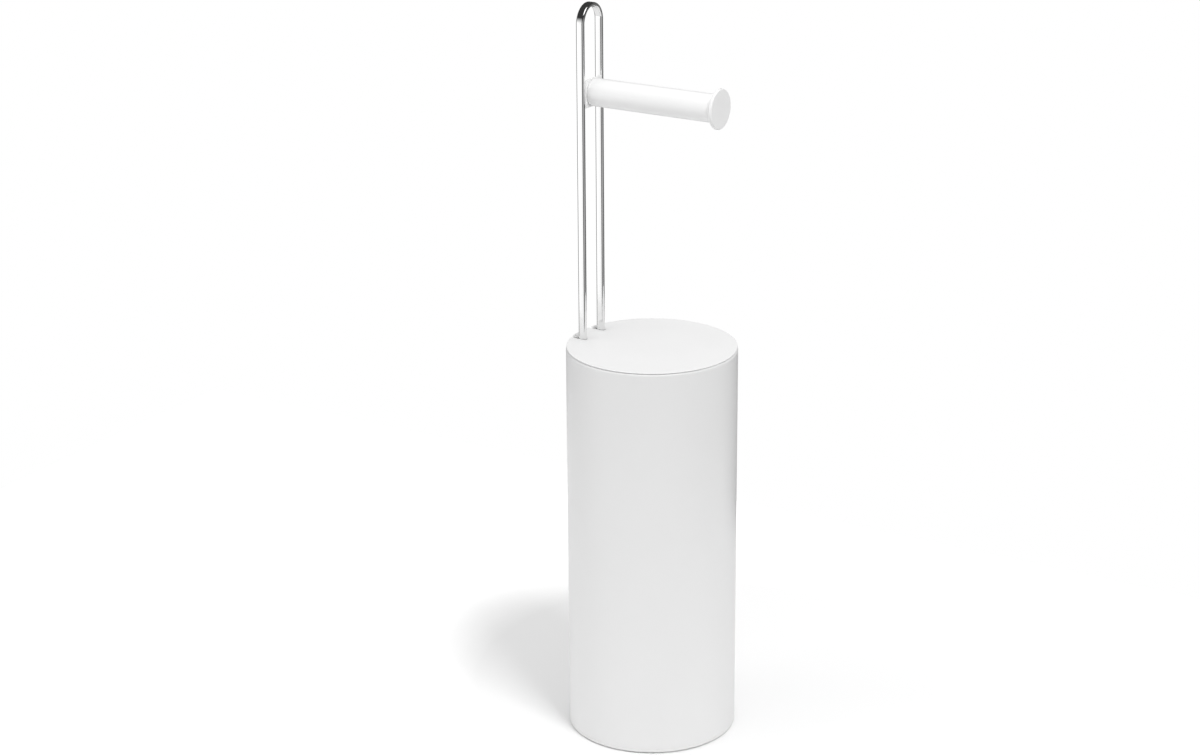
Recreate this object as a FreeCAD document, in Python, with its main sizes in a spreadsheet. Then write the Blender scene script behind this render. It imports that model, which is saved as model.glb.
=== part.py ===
import FreeCAD, Part
import math
import os
import Sketcher

# A free-standing store for spare toilet rolls. A coated steel canister stands on a weighted base and is
# closed by a loose lid. One flat bar, bent into a tall loop, rises from the base behind the rolls,
# passes through two slots in the lid and carries a short arm for the roll in use.
# Millimetres, +Z up, origin on the floor under the middle of the canister, arm along +X, loop at -X.

DIMENSIONS = {
    # canister shell: folded sheet with a rolled rim and a turned-down lip round the mouth
    "body_radius": 75.0,
    "shell_height": 352.8,
    "shell_wall": 0.8,
    "rim_round": 2.0,
    "rim_width": 6.5,
    "lip_round": 1.4,
    "lip_depth": 6.0,
    # base moulding: ring that shows under the shell, spigot inside the shell, floor under the rolls
    "pad_drop": 1.0,
    "ring_height": 3.0,
    "ring_wall": 4.0,
    "ring_round": 0.8,
    "seam_round": 0.35,
    "spigot_play": 0.15,
    "spigot_bevel": 1.0,
    "base_wall": 5.4,
    "floor_thick": 3.2,
    "boss_radius": 4.0,
    "boss_inset": 18.0,
    # weight, cover and feet under the floor
    "ballast_thick": 9.0,
    "ballast_play": 0.3,
    "cover_thick": 3.0,
    "cover_play": 0.3,
    "foot_radius": 8.0,
    "foot_recess": 1.2,
    "foot_round": 0.6,
    "foot_inset": 13.0,
    "foot_play": 0.1,
    # bent bar and the plate that it stands on
    "bar_depth": 7.6,
    "bar_thick": 3.4,
    "bar_round": 1.4,
    "loop_height": 654.4,
    "leg_setback": 10.0,
    "plate_thick": 4.0,
    "plate_inset": 0.8,
    "plate_cheek": 5.0,
    "plate_reach": 19.0,
    "plate_play": 0.3,
    # guide and clamp that steady the bar below the rim
    "guide_height": 24.0,
    "guide_drop": 15.0,
    "guide_cheek": 5.0,
    "guide_play": 0.1,
    "guide_nip": 0.3,
    "channel_play": 0.2,
    "clamp_thick": 3.0,
    "clamp_round": 2.0,
    "clamp_pitch": 12.0,
    # arm with its bracket and end cap
    "arm_drop": 77.4,
    "arm_radius": 12.15,
    "arm_wall": 2.2,
    "arm_length": 116.95,
    "arm_entry": 0.25,
    "arm_side_play": 1.45,
    "root_wall": 4.0,
    "root_round": 1.6,
    "spacer_thick": 1.2,
    "spacer_play": 0.15,
    "bracket_thick": 3.6,
    "bracket_height": 21.0,
    "cap_collar": 4.2,
    "cap_cove": 1.8,
    "flange_lip": 5.15,
    "flange_thick": 3.0,
    "flange_round": 0.9,
    "plug_length": 12.0,
    "plug_wall": 2.0,
    "plug_play": 0.1,
    # lid with its locating skirt, slots and soft pads
    "lid_gap": 0.5,
    "lid_edge": 0.8,
    "lid_inset": 0.5,
    "lid_round": 0.45,
    "lid_thick": 2.1,
    "skirt_play": 0.6,
    "skirt_wall": 2.0,
    "skirt_depth": 7.5,
    "slot_play": 0.35,
    "slot_round": 1.2,
    "lid_pad_radius": 1.6,
    # screws: countersunk in the cover, the plate and the clamp, button-headed in the arm
    "cover_screw_head": 3.2,
    "cover_screw_shank": 1.6,
    "cover_screw_length": 11.0,
    "cover_screw_socket": 1.1,
    "plate_screw_head": 4.6,
    "plate_screw_shank": 2.5,
    "plate_screw_inset": 6.5,
    "plate_screw_stop": 1.5,
    "plate_screw_socket": 1.7,
    "clamp_screw_head": 3.8,
    "clamp_screw_shank": 2.0,
    "clamp_screw_length": 12.0,
    "clamp_screw_socket": 1.4,
    "arm_screw_head": 5.2,
    "arm_screw_cap": 3.2,
    "arm_screw_round": 1.2,
    "arm_screw_shank": 3.0,
    "arm_screw_stop": 0.4,
    "arm_screw_socket": 2.2,
    "socket_depth": 1.3,
    "washer_radius": 7.0,
    "washer_thick": 1.2,
    "screw_play": 0.1,
    "tip_play": 0.5,
    # how far a cutting shape runs past the face that it opens
    "cut_over": 2.0,
}

# Counts and first angles of what stands on a circle
COVER_SCREWS = 4
COVER_SCREW_ANGLE = 45
FEET = 4
FOOT_ANGLE = 0
LID_PADS = 4
LID_PAD_ANGLE = 45

LEFT = 1
RIGHT = -1
UPRIGHT = FreeCAD.Rotation()
UPSIDE_DOWN = FreeCAD.Rotation(FreeCAD.Vector(1, 0, 0), 180)
ALONG_X = FreeCAD.Rotation(FreeCAD.Vector(0, 1, 0), 90)
SLACK = 1e-6

# Levels of the base, counted up from the floor
BASE_LOW = "dim.pad_drop"
SEAM = f"({BASE_LOW} + dim.ring_height)"
COVER_TOP = f"({BASE_LOW} + dim.cover_thick)"
BALLAST_TOP = f"({COVER_TOP} + dim.ballast_thick)"
FLOOR_LOW = f"({BALLAST_TOP} + dim.ballast_play)"
FLOOR_TOP = f"({FLOOR_LOW} + dim.floor_thick)"
PLATE_TOP = f"({BALLAST_TOP} + dim.plate_thick)"
RIM_TOP = f"({SEAM} + dim.shell_height)"

# Radii, counted in from the outside of the canister
BODY = "dim.body_radius"
BORE = f"({BODY} - dim.shell_wall)"
MOUTH = f"({BODY} - dim.rim_width)"
SPIGOT = f"({BORE} - dim.spigot_play)"
CAVITY = f"({SPIGOT} - dim.base_wall)"
BALLAST = f"({CAVITY} - dim.ballast_play)"
RECESS = f"({BODY} - dim.ring_wall)"
COVER = f"({RECESS} - dim.cover_play)"
BOSS_CIRCLE = f"({CAVITY} - dim.boss_inset)"
FOOT_CIRCLE = f"({COVER} - dim.foot_inset)"

# The bar's legs, which stand either side of the arm's root
HALF_DEPTH = "(dim.bar_depth / 2)"
HALF_BAR = "(dim.bar_thick / 2)"
LEG_X = f"(dim.leg_setback + {HALF_DEPTH} - {BODY})"
LEG_FRONT = f"({LEG_X} + {HALF_DEPTH})"
LEG_REAR = f"({LEG_X} - {HALF_DEPTH})"
LEG_INNER = "(dim.arm_radius + dim.arm_side_play)"
LEG_Y = f"({LEG_INNER} + {HALF_BAR})"
LEG_OUTER = f"({LEG_Y} + {HALF_BAR})"
ARCH_Z = f"(dim.loop_height - {LEG_OUTER})"

doc = FreeCAD.newDocument("toilet_roll_store")
dim = doc.addObject("Spreadsheet::Sheet", "dim")
for row, (alias, size) in enumerate(DIMENSIONS.items(), 1):
    dim.set(f"A{row}", alias)
    dim.set(f"B{row}", str(size))
    dim.setAlias(f"B{row}", alias)
doc.recompute()


def size_of(term):
    """Number that a term of the sheet stands for."""
    return float(dim.evalExpression(term))


def shape_of(kind, name, **terms):
    """Object of a kind, with its sizes bound to the sheet."""
    item = doc.addObject(kind, name)
    for size_name, term in terms.items():
        item.setExpression(size_name, term)
    return item


def place(item, x, y, z, turn=UPRIGHT):
    """Turn an object and bind its place to the sheet."""
    item.Placement = FreeCAD.Placement(FreeCAD.Vector(), turn)
    for axis, term in zip("xyz", (x, y, z)):
        item.setExpression(f"Placement.Base.{axis}", term)
    return item


def block(name, low, high):
    """Box between two corners."""
    spans = [f"{top} - ({bottom})" for bottom, top in zip(low, high)]
    item = shape_of("Part::Box", name, Length=spans[0], Width=spans[1], Height=spans[2])
    return place(item, *low)


def rod(name, radius, x, y, low, high):
    """Upright cylinder between two levels."""
    item = shape_of("Part::Cylinder", name, Radius=radius, Height=f"{high} - ({low})")
    return place(item, x, y, low)


def cut(name, base, tools):
    """What is left of a base when the tools are taken out of it."""
    item = doc.addObject("Part::Cut", name)
    item.Base = base
    item.Tool = group(f"{name}_tools", tools)
    return item


def common(name, first, second):
    """What two shapes share."""
    item = doc.addObject("Part::Common", name)
    item.Base = first
    item.Tool = second
    return item


def fuse(name, items):
    """One solid from several that run into each other."""
    item = doc.addObject("Part::MultiFuse", name)
    item.Shapes = items
    return item


def group(name, items):
    """Separate solids under one name."""
    item = doc.addObject("Part::Compound", name)
    item.Links = items
    return item


def circle_spots(radius, count, first_angle):
    """Evenly spaced spots on a circle, as pairs of terms."""
    angles = [first_angle + number * 360 / count for number in range(count)]
    return [(f"{radius} * cos({angle})", f"{radius} * sin({angle})") for angle in angles]


def run_between(start, end, corner):
    """Line to a corner, or the arc that its radius and side ask for, with the ends in drawn order."""
    if len(corner) == 2:
        return Part.LineSegment(start, end), (1, 2)
    radius = size_of(corner[2])
    side = corner[3]
    chord = end - start
    rise = math.sqrt(max(radius ** 2 - (chord.Length / 2) ** 2, 0))
    across = FreeCAD.Vector(-chord.y, chord.x, 0) / chord.Length
    centre = (start + end) / 2 + across * rise * side
    first, last = (start, end) if side == LEFT else (end, start)
    angles = [math.atan2(point.y - centre.y, point.x - centre.x) for point in (first, last)]
    circle = Part.Circle(centre, FreeCAD.Vector(0, 0, 1), radius)
    arc = Part.ArcOfCircle(circle, angles[0], angles[1] + (2 * math.pi if angles[1] < angles[0] else 0))
    return arc, ((1, 2) if side == LEFT else (2, 1))


def draw(sketch, corners):
    """Closed outline through corners (x, y), or (x, y, radius, side) where an arc runs to the corner."""
    points = [FreeCAD.Vector(size_of(corner[0]), size_of(corner[1]), 0) for corner in corners]
    first = len(sketch.Geometry)
    ends = []
    for number, corner in enumerate(corners):
        run, order = run_between(points[number - 1], points[number], corner)
        sketch.addGeometry(run, False)
        ends.append(order)
    for number, corner in enumerate(corners):
        run = first + number
        tail = ends[number][1]
        following = (number + 1) % len(corners)
        join = Sketcher.Constraint("Coincident", run, tail, first + following, ends[following][0])
        sketch.addConstraint(join)
        for kind, axis, term in (("DistanceX", -2, corner[0]), ("DistanceY", -1, corner[1])):
            if term == "0":
                sketch.addConstraint(Sketcher.Constraint("PointOnObject", run, tail, axis))
                continue
            spot = sketch.addConstraint(Sketcher.Constraint(kind, -1, 1, run, tail, size_of(term)))
            sketch.setExpression(f"Constraints[{spot}]", term)
        if len(corner) > 2:
            bend = sketch.addConstraint(Sketcher.Constraint("Radius", run, size_of(corner[2])))
            sketch.setExpression(f"Constraints[{bend}]", corner[2])


def sketch_in(body, name, role, outlines, level="0"):
    """Sketch on one of a body's own planes, lifted to a level."""
    sketch = body.newObject("Sketcher::SketchObject", name)
    plane = next(item for item in body.Origin.OriginFeatures if item.Role == role)
    sketch.AttachmentSupport = [(plane, "")]
    sketch.MapMode = "FlatFace"
    sketch.setExpression("AttachmentOffset.Base.z", level)
    for outline in outlines:
        draw(sketch, outline)
    return sketch


def turned(name, outline):
    """Body turned about Z from an outline of radii and levels."""
    body = doc.addObject("PartDesign::Body", name)
    sketch = sketch_in(body, f"{name}_outline", "XZ_Plane", [outline])
    turn = body.newObject("PartDesign::Revolution", f"{name}_turn")
    turn.Profile = sketch
    turn.ReferenceAxis = (sketch, ["V_Axis"])
    turn.Angle = 360
    return body


def padded(name, outline, low, high):
    """Upright body between two levels, with an outline seen from above."""
    body = doc.addObject("PartDesign::Body", name)
    sketch = sketch_in(body, f"{name}_outline", "XY_Plane", [outline], low)
    pad = body.newObject("PartDesign::Pad", f"{name}_pad")
    pad.Profile = sketch
    pad.setExpression("Length", f"{high} - ({low})")
    return body


def bar_outline(y):
    """Outline of a leg's flat section, with its rounded edges, about a Y."""
    rear, front = f"{LEG_REAR} + dim.bar_round", f"{LEG_FRONT} - dim.bar_round"
    low, high = f"{y} - {HALF_BAR} + dim.bar_round", f"{y} + {HALF_BAR} - dim.bar_round"
    return [
        (front, f"{y} - {HALF_BAR}"),
        (LEG_FRONT, low, "dim.bar_round", LEFT),
        (LEG_FRONT, high),
        (front, f"{y} + {HALF_BAR}", "dim.bar_round", LEFT),
        (rear, f"{y} + {HALF_BAR}"),
        (LEG_REAR, high, "dim.bar_round", LEFT),
        (LEG_REAR, low),
        (rear, f"{y} - {HALF_BAR}", "dim.bar_round", LEFT),
    ]


def sunk_outline(head, shank, length):
    """Outline of a countersunk screw, or of its hole, with the flat of the head at level 0."""
    return [
        ("0", f"-({length})"),
        (shank, f"-({length})"),
        (shank, f"{shank} - ({head})"),
        (head, "0"),
        ("0", "0"),
    ]


def sunk_screw(name, family, length, spot, turn):
    """Countersunk screw with a hexagon socket, its head's flat at the spot."""
    stem = turned(f"{name}_stem", sunk_outline(f"dim.{family}_head", f"dim.{family}_shank", length))
    place(stem, *spot, turn)
    socket = shape_of("Part::Prism", f"{name}_socket", Circumradius=f"dim.{family}_socket")
    socket.Polygon = 6
    socket.setExpression("Height", "2 * dim.socket_depth")
    drop = turn.multVec(FreeCAD.Vector(0, 0, -1))
    terms = [f"{term} + dim.socket_depth * {sign:g}" for term, sign in zip(spot, drop)]
    place(socket, *terms, turn)
    return cut(name, stem, [socket])


def sunk_hole(name, family, length, spot, turn):
    """Cutting shape for a countersunk screw and the play round it."""
    play = "dim.screw_play"
    head = f"dim.{family}_head + {play}"
    shank = f"dim.{family}_shank + {play}"
    return place(turned(name, sunk_outline(head, shank, f"{length} + dim.tip_play")), *spot, turn)


# Base moulding: the ring that the shell stands on, a spigot that centres the shell, and a floor with
# four bosses that hang through the weight. A window in the floor lets the bar's plate sit on the weight.
base_body = turned("base_body", [
    ("0", FLOOR_LOW),
    (CAVITY, FLOOR_LOW),
    (CAVITY, COVER_TOP),
    (RECESS, COVER_TOP),
    (RECESS, BASE_LOW),
    (f"{BODY} - dim.ring_round", BASE_LOW),
    (BODY, f"{BASE_LOW} + dim.ring_round", "dim.ring_round", LEFT),
    (BODY, f"{SEAM} - dim.seam_round"),
    (f"{BODY} - dim.seam_round", SEAM, "dim.seam_round", LEFT),
    (SPIGOT, SEAM),
    (SPIGOT, f"{FLOOR_TOP} - dim.spigot_bevel"),
    (f"{SPIGOT} - dim.spigot_bevel", FLOOR_TOP),
    ("0", FLOOR_TOP),
])
boss_spots = circle_spots(BOSS_CIRCLE, COVER_SCREWS, COVER_SCREW_ANGLE)
bosses = [
    rod(f"base_boss_{number}", "dim.boss_radius", *spot, COVER_TOP, f"{FLOOR_LOW} + dim.floor_thick / 2")
    for number, spot in enumerate(boss_spots, 1)
]
pilots = [
    rod(f"base_pilot_{number}", "dim.cover_screw_shank + dim.screw_play", *spot,
        f"{COVER_TOP} - dim.cut_over", f"{BASE_LOW} + dim.cover_screw_length + dim.tip_play")
    for number, spot in enumerate(boss_spots, 1)
]
PLATE_RADIUS = f"({BALLAST} - dim.plate_inset)"
PLATE_FRONT = f"({LEG_FRONT} + dim.plate_reach)"
PLATE_HALF = f"({LEG_OUTER} + dim.plate_cheek)"
window = common(
    "base_window",
    block("base_window_block",
          (f"-{BODY}", f"-{PLATE_HALF} - dim.plate_play", f"{FLOOR_LOW} - dim.cut_over"),
          (f"{PLATE_FRONT} + dim.plate_play", f"{PLATE_HALF} + dim.plate_play", f"{FLOOR_TOP} + dim.cut_over")),
    rod("base_window_round", f"{PLATE_RADIUS} + dim.plate_play", "0", "0",
        f"{FLOOR_LOW} - dim.cut_over", f"{FLOOR_TOP} + dim.cut_over"),
)
base_moulding = cut("base_moulding", fuse("base_solid", [base_body, *bosses]), [*pilots, window])

# Ballast plate: a steel disc cut from plate, drilled to clear the bosses and tapped for the bar's plate.
PLATE_SCREW_LENGTH = "(dim.plate_thick + dim.ballast_thick - dim.plate_screw_stop)"
plate_screw_spots = [
    (f"{PLATE_FRONT} - dim.plate_screw_inset", f"-{LEG_Y}"),
    (f"{PLATE_FRONT} - dim.plate_screw_inset", LEG_Y),
    (LEG_X, "0"),
]
ballast_holes = [
    rod(f"ballast_hole_{number}", "dim.boss_radius + dim.ballast_play", *spot,
        f"{COVER_TOP} - dim.cut_over", f"{BALLAST_TOP} + dim.cut_over")
    for number, spot in enumerate(boss_spots, 1)
]
ballast_taps = [
    rod(f"ballast_tap_{number}", "dim.plate_screw_shank + dim.screw_play", *spot,
        f"{COVER_TOP} - dim.cut_over", f"{BALLAST_TOP} + dim.cut_over")
    for number, spot in enumerate(plate_screw_spots, 1)
]
ballast_plate = cut(
    "ballast_plate",
    rod("ballast_disc", BALLAST, "0", "0", COVER_TOP, BALLAST_TOP),
    [*ballast_holes, *ballast_taps],
)

# Bottom cover: a flat disc let into the base, with pockets for the feet and countersinks for its screws.
foot_spots = circle_spots(FOOT_CIRCLE, FEET, FOOT_ANGLE)
foot_pockets = [
    rod(f"cover_pocket_{number}", "dim.foot_radius + dim.foot_play", *spot,
        f"{BASE_LOW} - dim.cut_over", f"{BASE_LOW} + dim.foot_recess")
    for number, spot in enumerate(foot_spots, 1)
]
cover_sinks = [
    sunk_hole(f"cover_sink_{number}", "cover_screw", "dim.cover_screw_length", (*spot, BASE_LOW), UPSIDE_DOWN)
    for number, spot in enumerate(boss_spots, 1)
]
bottom_cover = cut(
    "bottom_cover",
    rod("cover_disc", COVER, "0", "0", BASE_LOW, COVER_TOP),
    [*foot_pockets, *cover_sinks],
)
cover_screws = group("cover_screws", [
    sunk_screw(f"cover_screw_{number}", "cover_screw", "dim.cover_screw_length", (*spot, BASE_LOW), UPSIDE_DOWN)
    for number, spot in enumerate(boss_spots, 1)
])

# Feet: soft discs stuck in the cover's pockets, with a rounded edge towards the floor.
foot_outline = [
    ("0", "0"),
    ("dim.foot_radius - dim.foot_round", "0"),
    ("dim.foot_radius", "dim.foot_round", "dim.foot_round", LEFT),
    ("dim.foot_radius", f"{BASE_LOW} + dim.foot_recess"),
    ("0", f"{BASE_LOW} + dim.foot_recess"),
]
foot_pads = group("foot_pads", [
    place(turned(f"foot_pad_{number}", foot_outline), *spot, "0")
    for number, spot in enumerate(foot_spots, 1)
])

# Canister shell: thin sheet rolled into a tube, its rim folded in over the mouth and down as a lip.
canister_shell = turned("canister_shell", [
    (BORE, SEAM),
    (f"{BODY} - dim.seam_round", SEAM),
    (BODY, f"{SEAM} + dim.seam_round", "dim.seam_round", LEFT),
    (BODY, f"{RIM_TOP} - dim.rim_round"),
    (f"{BODY} - dim.rim_round", RIM_TOP, "dim.rim_round", LEFT),
    (f"{MOUTH} + dim.lip_round", RIM_TOP),
    (MOUTH, f"{RIM_TOP} - dim.lip_round", "dim.lip_round", LEFT),
    (MOUTH, f"{RIM_TOP} - dim.lip_depth"),
    (f"{MOUTH} + dim.shell_wall", f"{RIM_TOP} - dim.lip_depth"),
    (f"{MOUTH} + dim.shell_wall", f"{RIM_TOP} - dim.lip_round"),
    (f"{MOUTH} + dim.lip_round", f"{RIM_TOP} - dim.shell_wall", "dim.lip_round - dim.shell_wall", RIGHT),
    (f"{BODY} - dim.rim_round", f"{RIM_TOP} - dim.shell_wall"),
    (BORE, f"{RIM_TOP} - dim.rim_round", "dim.rim_round - dim.shell_wall", RIGHT),
])

# Loop: one flat bar with rounded edges, bent round a half circle, so that two legs stand side by side.
loop_frame = doc.addObject("PartDesign::Body", "loop_frame")
arch_section = sketch_in(loop_frame, "loop_arch_section", "XY_Plane", [bar_outline(f"-{LEG_Y}")], ARCH_Z)
arch = loop_frame.newObject("PartDesign::Revolution", "loop_arch")
arch.Profile = arch_section
arch.ReferenceAxis = (arch_section, ["H_Axis"])
arch.Angle = 180
arch.Reversed = True
leg_sections = sketch_in(loop_frame, "loop_leg_sections", "XY_Plane",
                         [bar_outline(side) for side in (f"-{LEG_Y}", LEG_Y)], PLATE_TOP)
legs = loop_frame.newObject("PartDesign::Pad", "loop_legs")
legs.Profile = leg_sections
legs.setExpression("Length", f"{ARCH_Z} - {PLATE_TOP}")

# Foot plate: steel under both legs, welded to them and screwed down to the weight.
plate_sinks = [
    sunk_hole(f"plate_sink_{number}", "plate_screw", PLATE_SCREW_LENGTH, (*spot, PLATE_TOP), UPRIGHT)
    for number, spot in enumerate(plate_screw_spots, 1)
]
plate_blank = common(
    "plate_blank",
    block("plate_block", (f"-{BODY}", f"-{PLATE_HALF}", BALLAST_TOP), (PLATE_FRONT, PLATE_HALF, PLATE_TOP)),
    rod("plate_round", PLATE_RADIUS, "0", "0", BALLAST_TOP, PLATE_TOP),
)
loop_foot_plate = cut("loop_foot_plate", plate_blank, plate_sinks)
foot_plate_screws = group("foot_plate_screws", [
    sunk_screw(f"plate_screw_{number}", "plate_screw", PLATE_SCREW_LENGTH, (*spot, PLATE_TOP), UPRIGHT)
    for number, spot in enumerate(plate_screw_spots, 1)
])

# Leg guide: a moulded block bonded inside the shell, with a channel for each leg. The clamp closes the
# channels from the front, so that the long bar can't sway against the lid.
GUIDE_TOP = f"({RIM_TOP} - dim.guide_drop)"
GUIDE_LOW = f"({GUIDE_TOP} - dim.guide_height)"
GUIDE_MIDDLE = f"({GUIDE_TOP} - dim.guide_height / 2)"
GUIDE_FRONT = f"({LEG_FRONT} - dim.guide_nip)"
GUIDE_HALF = f"({LEG_OUTER} + dim.guide_cheek)"
CLAMP_FRONT = f"({LEG_FRONT} + dim.clamp_thick)"
clamp_screw_spots = [
    (CLAMP_FRONT, "0", f"{GUIDE_MIDDLE} - dim.clamp_pitch / 2"),
    (CLAMP_FRONT, "0", f"{GUIDE_MIDDLE} + dim.clamp_pitch / 2"),
]
clamp_sinks = [
    sunk_hole(f"clamp_sink_{number}", "clamp_screw", "dim.clamp_screw_length", spot, ALONG_X)
    for number, spot in enumerate(clamp_screw_spots, 1)
]
guide_blank = common(
    "guide_blank",
    block("guide_block", (f"-{BODY}", f"-{GUIDE_HALF}", GUIDE_LOW), (GUIDE_FRONT, GUIDE_HALF, GUIDE_TOP)),
    rod("guide_round", f"{BORE} - dim.guide_play", "0", "0", GUIDE_LOW, GUIDE_TOP),
)
channels = [
    block(f"guide_channel_{name}",
          (f"{LEG_REAR} - dim.channel_play", f"{side} - {HALF_BAR} - dim.channel_play",
           f"{GUIDE_LOW} - dim.cut_over"),
          (f"{GUIDE_FRONT} + dim.cut_over", f"{side} + {HALF_BAR} + dim.channel_play",
           f"{GUIDE_TOP} + dim.cut_over"))
    for name, side in (("right", f"-{LEG_Y}"), ("left", LEG_Y))
]
leg_guide = cut("leg_guide", guide_blank, [*channels, *clamp_sinks])

# Clamp: a moulded strap across the front of both legs, with soft front corners towards the rolls.
clamp_body = padded("clamp_body", [
    (LEG_FRONT, f"-{GUIDE_HALF}"),
    (f"{CLAMP_FRONT} - dim.clamp_round", f"-{GUIDE_HALF}"),
    (CLAMP_FRONT, f"-{GUIDE_HALF} + dim.clamp_round", "dim.clamp_round", LEFT),
    (CLAMP_FRONT, f"{GUIDE_HALF} - dim.clamp_round"),
    (f"{CLAMP_FRONT} - dim.clamp_round", GUIDE_HALF, "dim.clamp_round", LEFT),
    (LEG_FRONT, GUIDE_HALF),
], GUIDE_LOW, GUIDE_TOP)
leg_clamp = cut("leg_clamp", clamp_body, clamp_sinks)
clamp_screws = group("clamp_screws", [
    sunk_screw(f"clamp_screw_{number}", "clamp_screw", "dim.clamp_screw_length", spot, ALONG_X)
    for number, spot in enumerate(clamp_screw_spots, 1)
])

# Arm: a moulded tube, closed at its root, whose root nests between the legs. Outlines here are radii
# and distances along X, laid over on their side at the arm's height.
ARM = "dim.arm_radius"
ARM_Z = "(dim.loop_height - dim.arm_drop)"
ARM_BORE = f"({ARM} - dim.arm_wall)"
ARM_ROOT = f"({LEG_FRONT} - dim.arm_entry)"
ARM_SEAM = f"({ARM_ROOT} + dim.arm_length)"
ROOT_INSIDE = f"({ARM_ROOT} + dim.root_wall)"
ARM_HOLE = "(dim.arm_screw_shank + dim.screw_play)"


def on_arm(body):
    """Lay a turned body along the arm."""
    return place(body, "0", "0", ARM_Z, ALONG_X)


arm_tube = on_arm(turned("arm_tube", [
    (ARM_HOLE, ARM_ROOT),
    (f"{ARM} - dim.root_round", ARM_ROOT),
    (ARM, f"{ARM_ROOT} + dim.root_round", "dim.root_round", LEFT),
    (ARM, f"{ARM_SEAM} - dim.seam_round"),
    (f"{ARM} - dim.seam_round", ARM_SEAM, "dim.seam_round", LEFT),
    (ARM_BORE, ARM_SEAM),
    (ARM_BORE, ROOT_INSIDE),
    (ARM_HOLE, ROOT_INSIDE),
]))

# Spacer and bracket: a moulded plate, as tall as the arm, fills the space between the legs and keeps the
# arm's root off a cross bar that is welded between them.
BRACKET_FRONT = f"({ARM_ROOT} - dim.spacer_thick)"
BRACKET_REAR = f"({BRACKET_FRONT} - dim.bracket_thick)"
SPACER_HALF = f"({LEG_INNER} - dim.spacer_play)"


def drilled_block(name, low, high):
    """Box between two corners with the arm screw's hole through it along X."""
    hole = shape_of("Part::Cylinder", f"{name}_hole", Radius=ARM_HOLE,
                    Height=f"{high[0]} - ({low[0]}) + 2 * dim.cut_over")
    place(hole, f"{low[0]} - dim.cut_over", "0", ARM_Z, ALONG_X)
    return cut(name, block(f"{name}_block", low, high), [hole])


arm_spacer = drilled_block(
    "arm_spacer",
    (BRACKET_FRONT, f"-{SPACER_HALF}", f"{ARM_Z} - {ARM}"),
    (ARM_ROOT, SPACER_HALF, f"{ARM_Z} + {ARM}"),
)
arm_bracket = drilled_block(
    "arm_bracket",
    (BRACKET_REAR, f"-{LEG_INNER}", f"{ARM_Z} - dim.bracket_height / 2"),
    (BRACKET_FRONT, LEG_INNER, f"{ARM_Z} + dim.bracket_height / 2"),
)

# Arm screw and washer: driven from inside the tube, through its root, into the bracket.
SCREW_SEAT = f"({ROOT_INSIDE} + dim.washer_thick)"
SCREW_CROWN = f"({SCREW_SEAT} + dim.arm_screw_cap)"
arm_washer = on_arm(turned("arm_washer", [
    (ARM_HOLE, ROOT_INSIDE),
    ("dim.washer_radius", ROOT_INSIDE),
    ("dim.washer_radius", SCREW_SEAT),
    (ARM_HOLE, SCREW_SEAT),
]))
arm_screw_body = on_arm(turned("arm_screw_body", [
    ("0", f"{BRACKET_REAR} + dim.arm_screw_stop"),
    ("dim.arm_screw_shank", f"{BRACKET_REAR} + dim.arm_screw_stop"),
    ("dim.arm_screw_shank", SCREW_SEAT),
    ("dim.arm_screw_head", SCREW_SEAT),
    ("dim.arm_screw_head", f"{SCREW_CROWN} - dim.arm_screw_round"),
    ("dim.arm_screw_head - dim.arm_screw_round", SCREW_CROWN, "dim.arm_screw_round", LEFT),
    ("0", SCREW_CROWN),
]))
arm_screw_socket = shape_of("Part::Prism", "arm_screw_socket", Circumradius="dim.arm_screw_socket",
                            Height="2 * dim.socket_depth")
arm_screw_socket.Polygon = 6
place(arm_screw_socket, f"{SCREW_CROWN} - dim.socket_depth", "0", ARM_Z, ALONG_X)
arm_screw = cut("arm_screw", arm_screw_body, [arm_screw_socket])

# End cap: a moulded plug with a short collar, flush with the arm, and a flange that keeps the roll on.
FLANGE = f"({ARM} + dim.flange_lip)"
FLANGE_BACK = f"({ARM_SEAM} + dim.cap_collar)"
CAP_FACE = f"({FLANGE_BACK} + dim.flange_thick)"
PLUG = f"({ARM_BORE} - dim.plug_play)"
PLUG_END = f"({ARM_SEAM} - dim.plug_length)"
arm_end_cap = on_arm(turned("arm_end_cap", [
    ("0", FLANGE_BACK),
    (f"{PLUG} - dim.plug_wall", FLANGE_BACK),
    (f"{PLUG} - dim.plug_wall", PLUG_END),
    (PLUG, PLUG_END),
    (PLUG, ARM_SEAM),
    (f"{ARM} - dim.seam_round", ARM_SEAM),
    (ARM, f"{ARM_SEAM} + dim.seam_round", "dim.seam_round", LEFT),
    (ARM, f"{FLANGE_BACK} - dim.cap_cove"),
    (f"{ARM} + dim.cap_cove", FLANGE_BACK, "dim.cap_cove", RIGHT),
    (f"{FLANGE} - dim.flange_round", FLANGE_BACK),
    (FLANGE, f"{FLANGE_BACK} + dim.flange_round", "dim.flange_round", LEFT),
    (FLANGE, f"{CAP_FACE} - dim.flange_round"),
    (f"{FLANGE} - dim.flange_round", CAP_FACE, "dim.flange_round", LEFT),
    ("0", CAP_FACE),
]))

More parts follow.
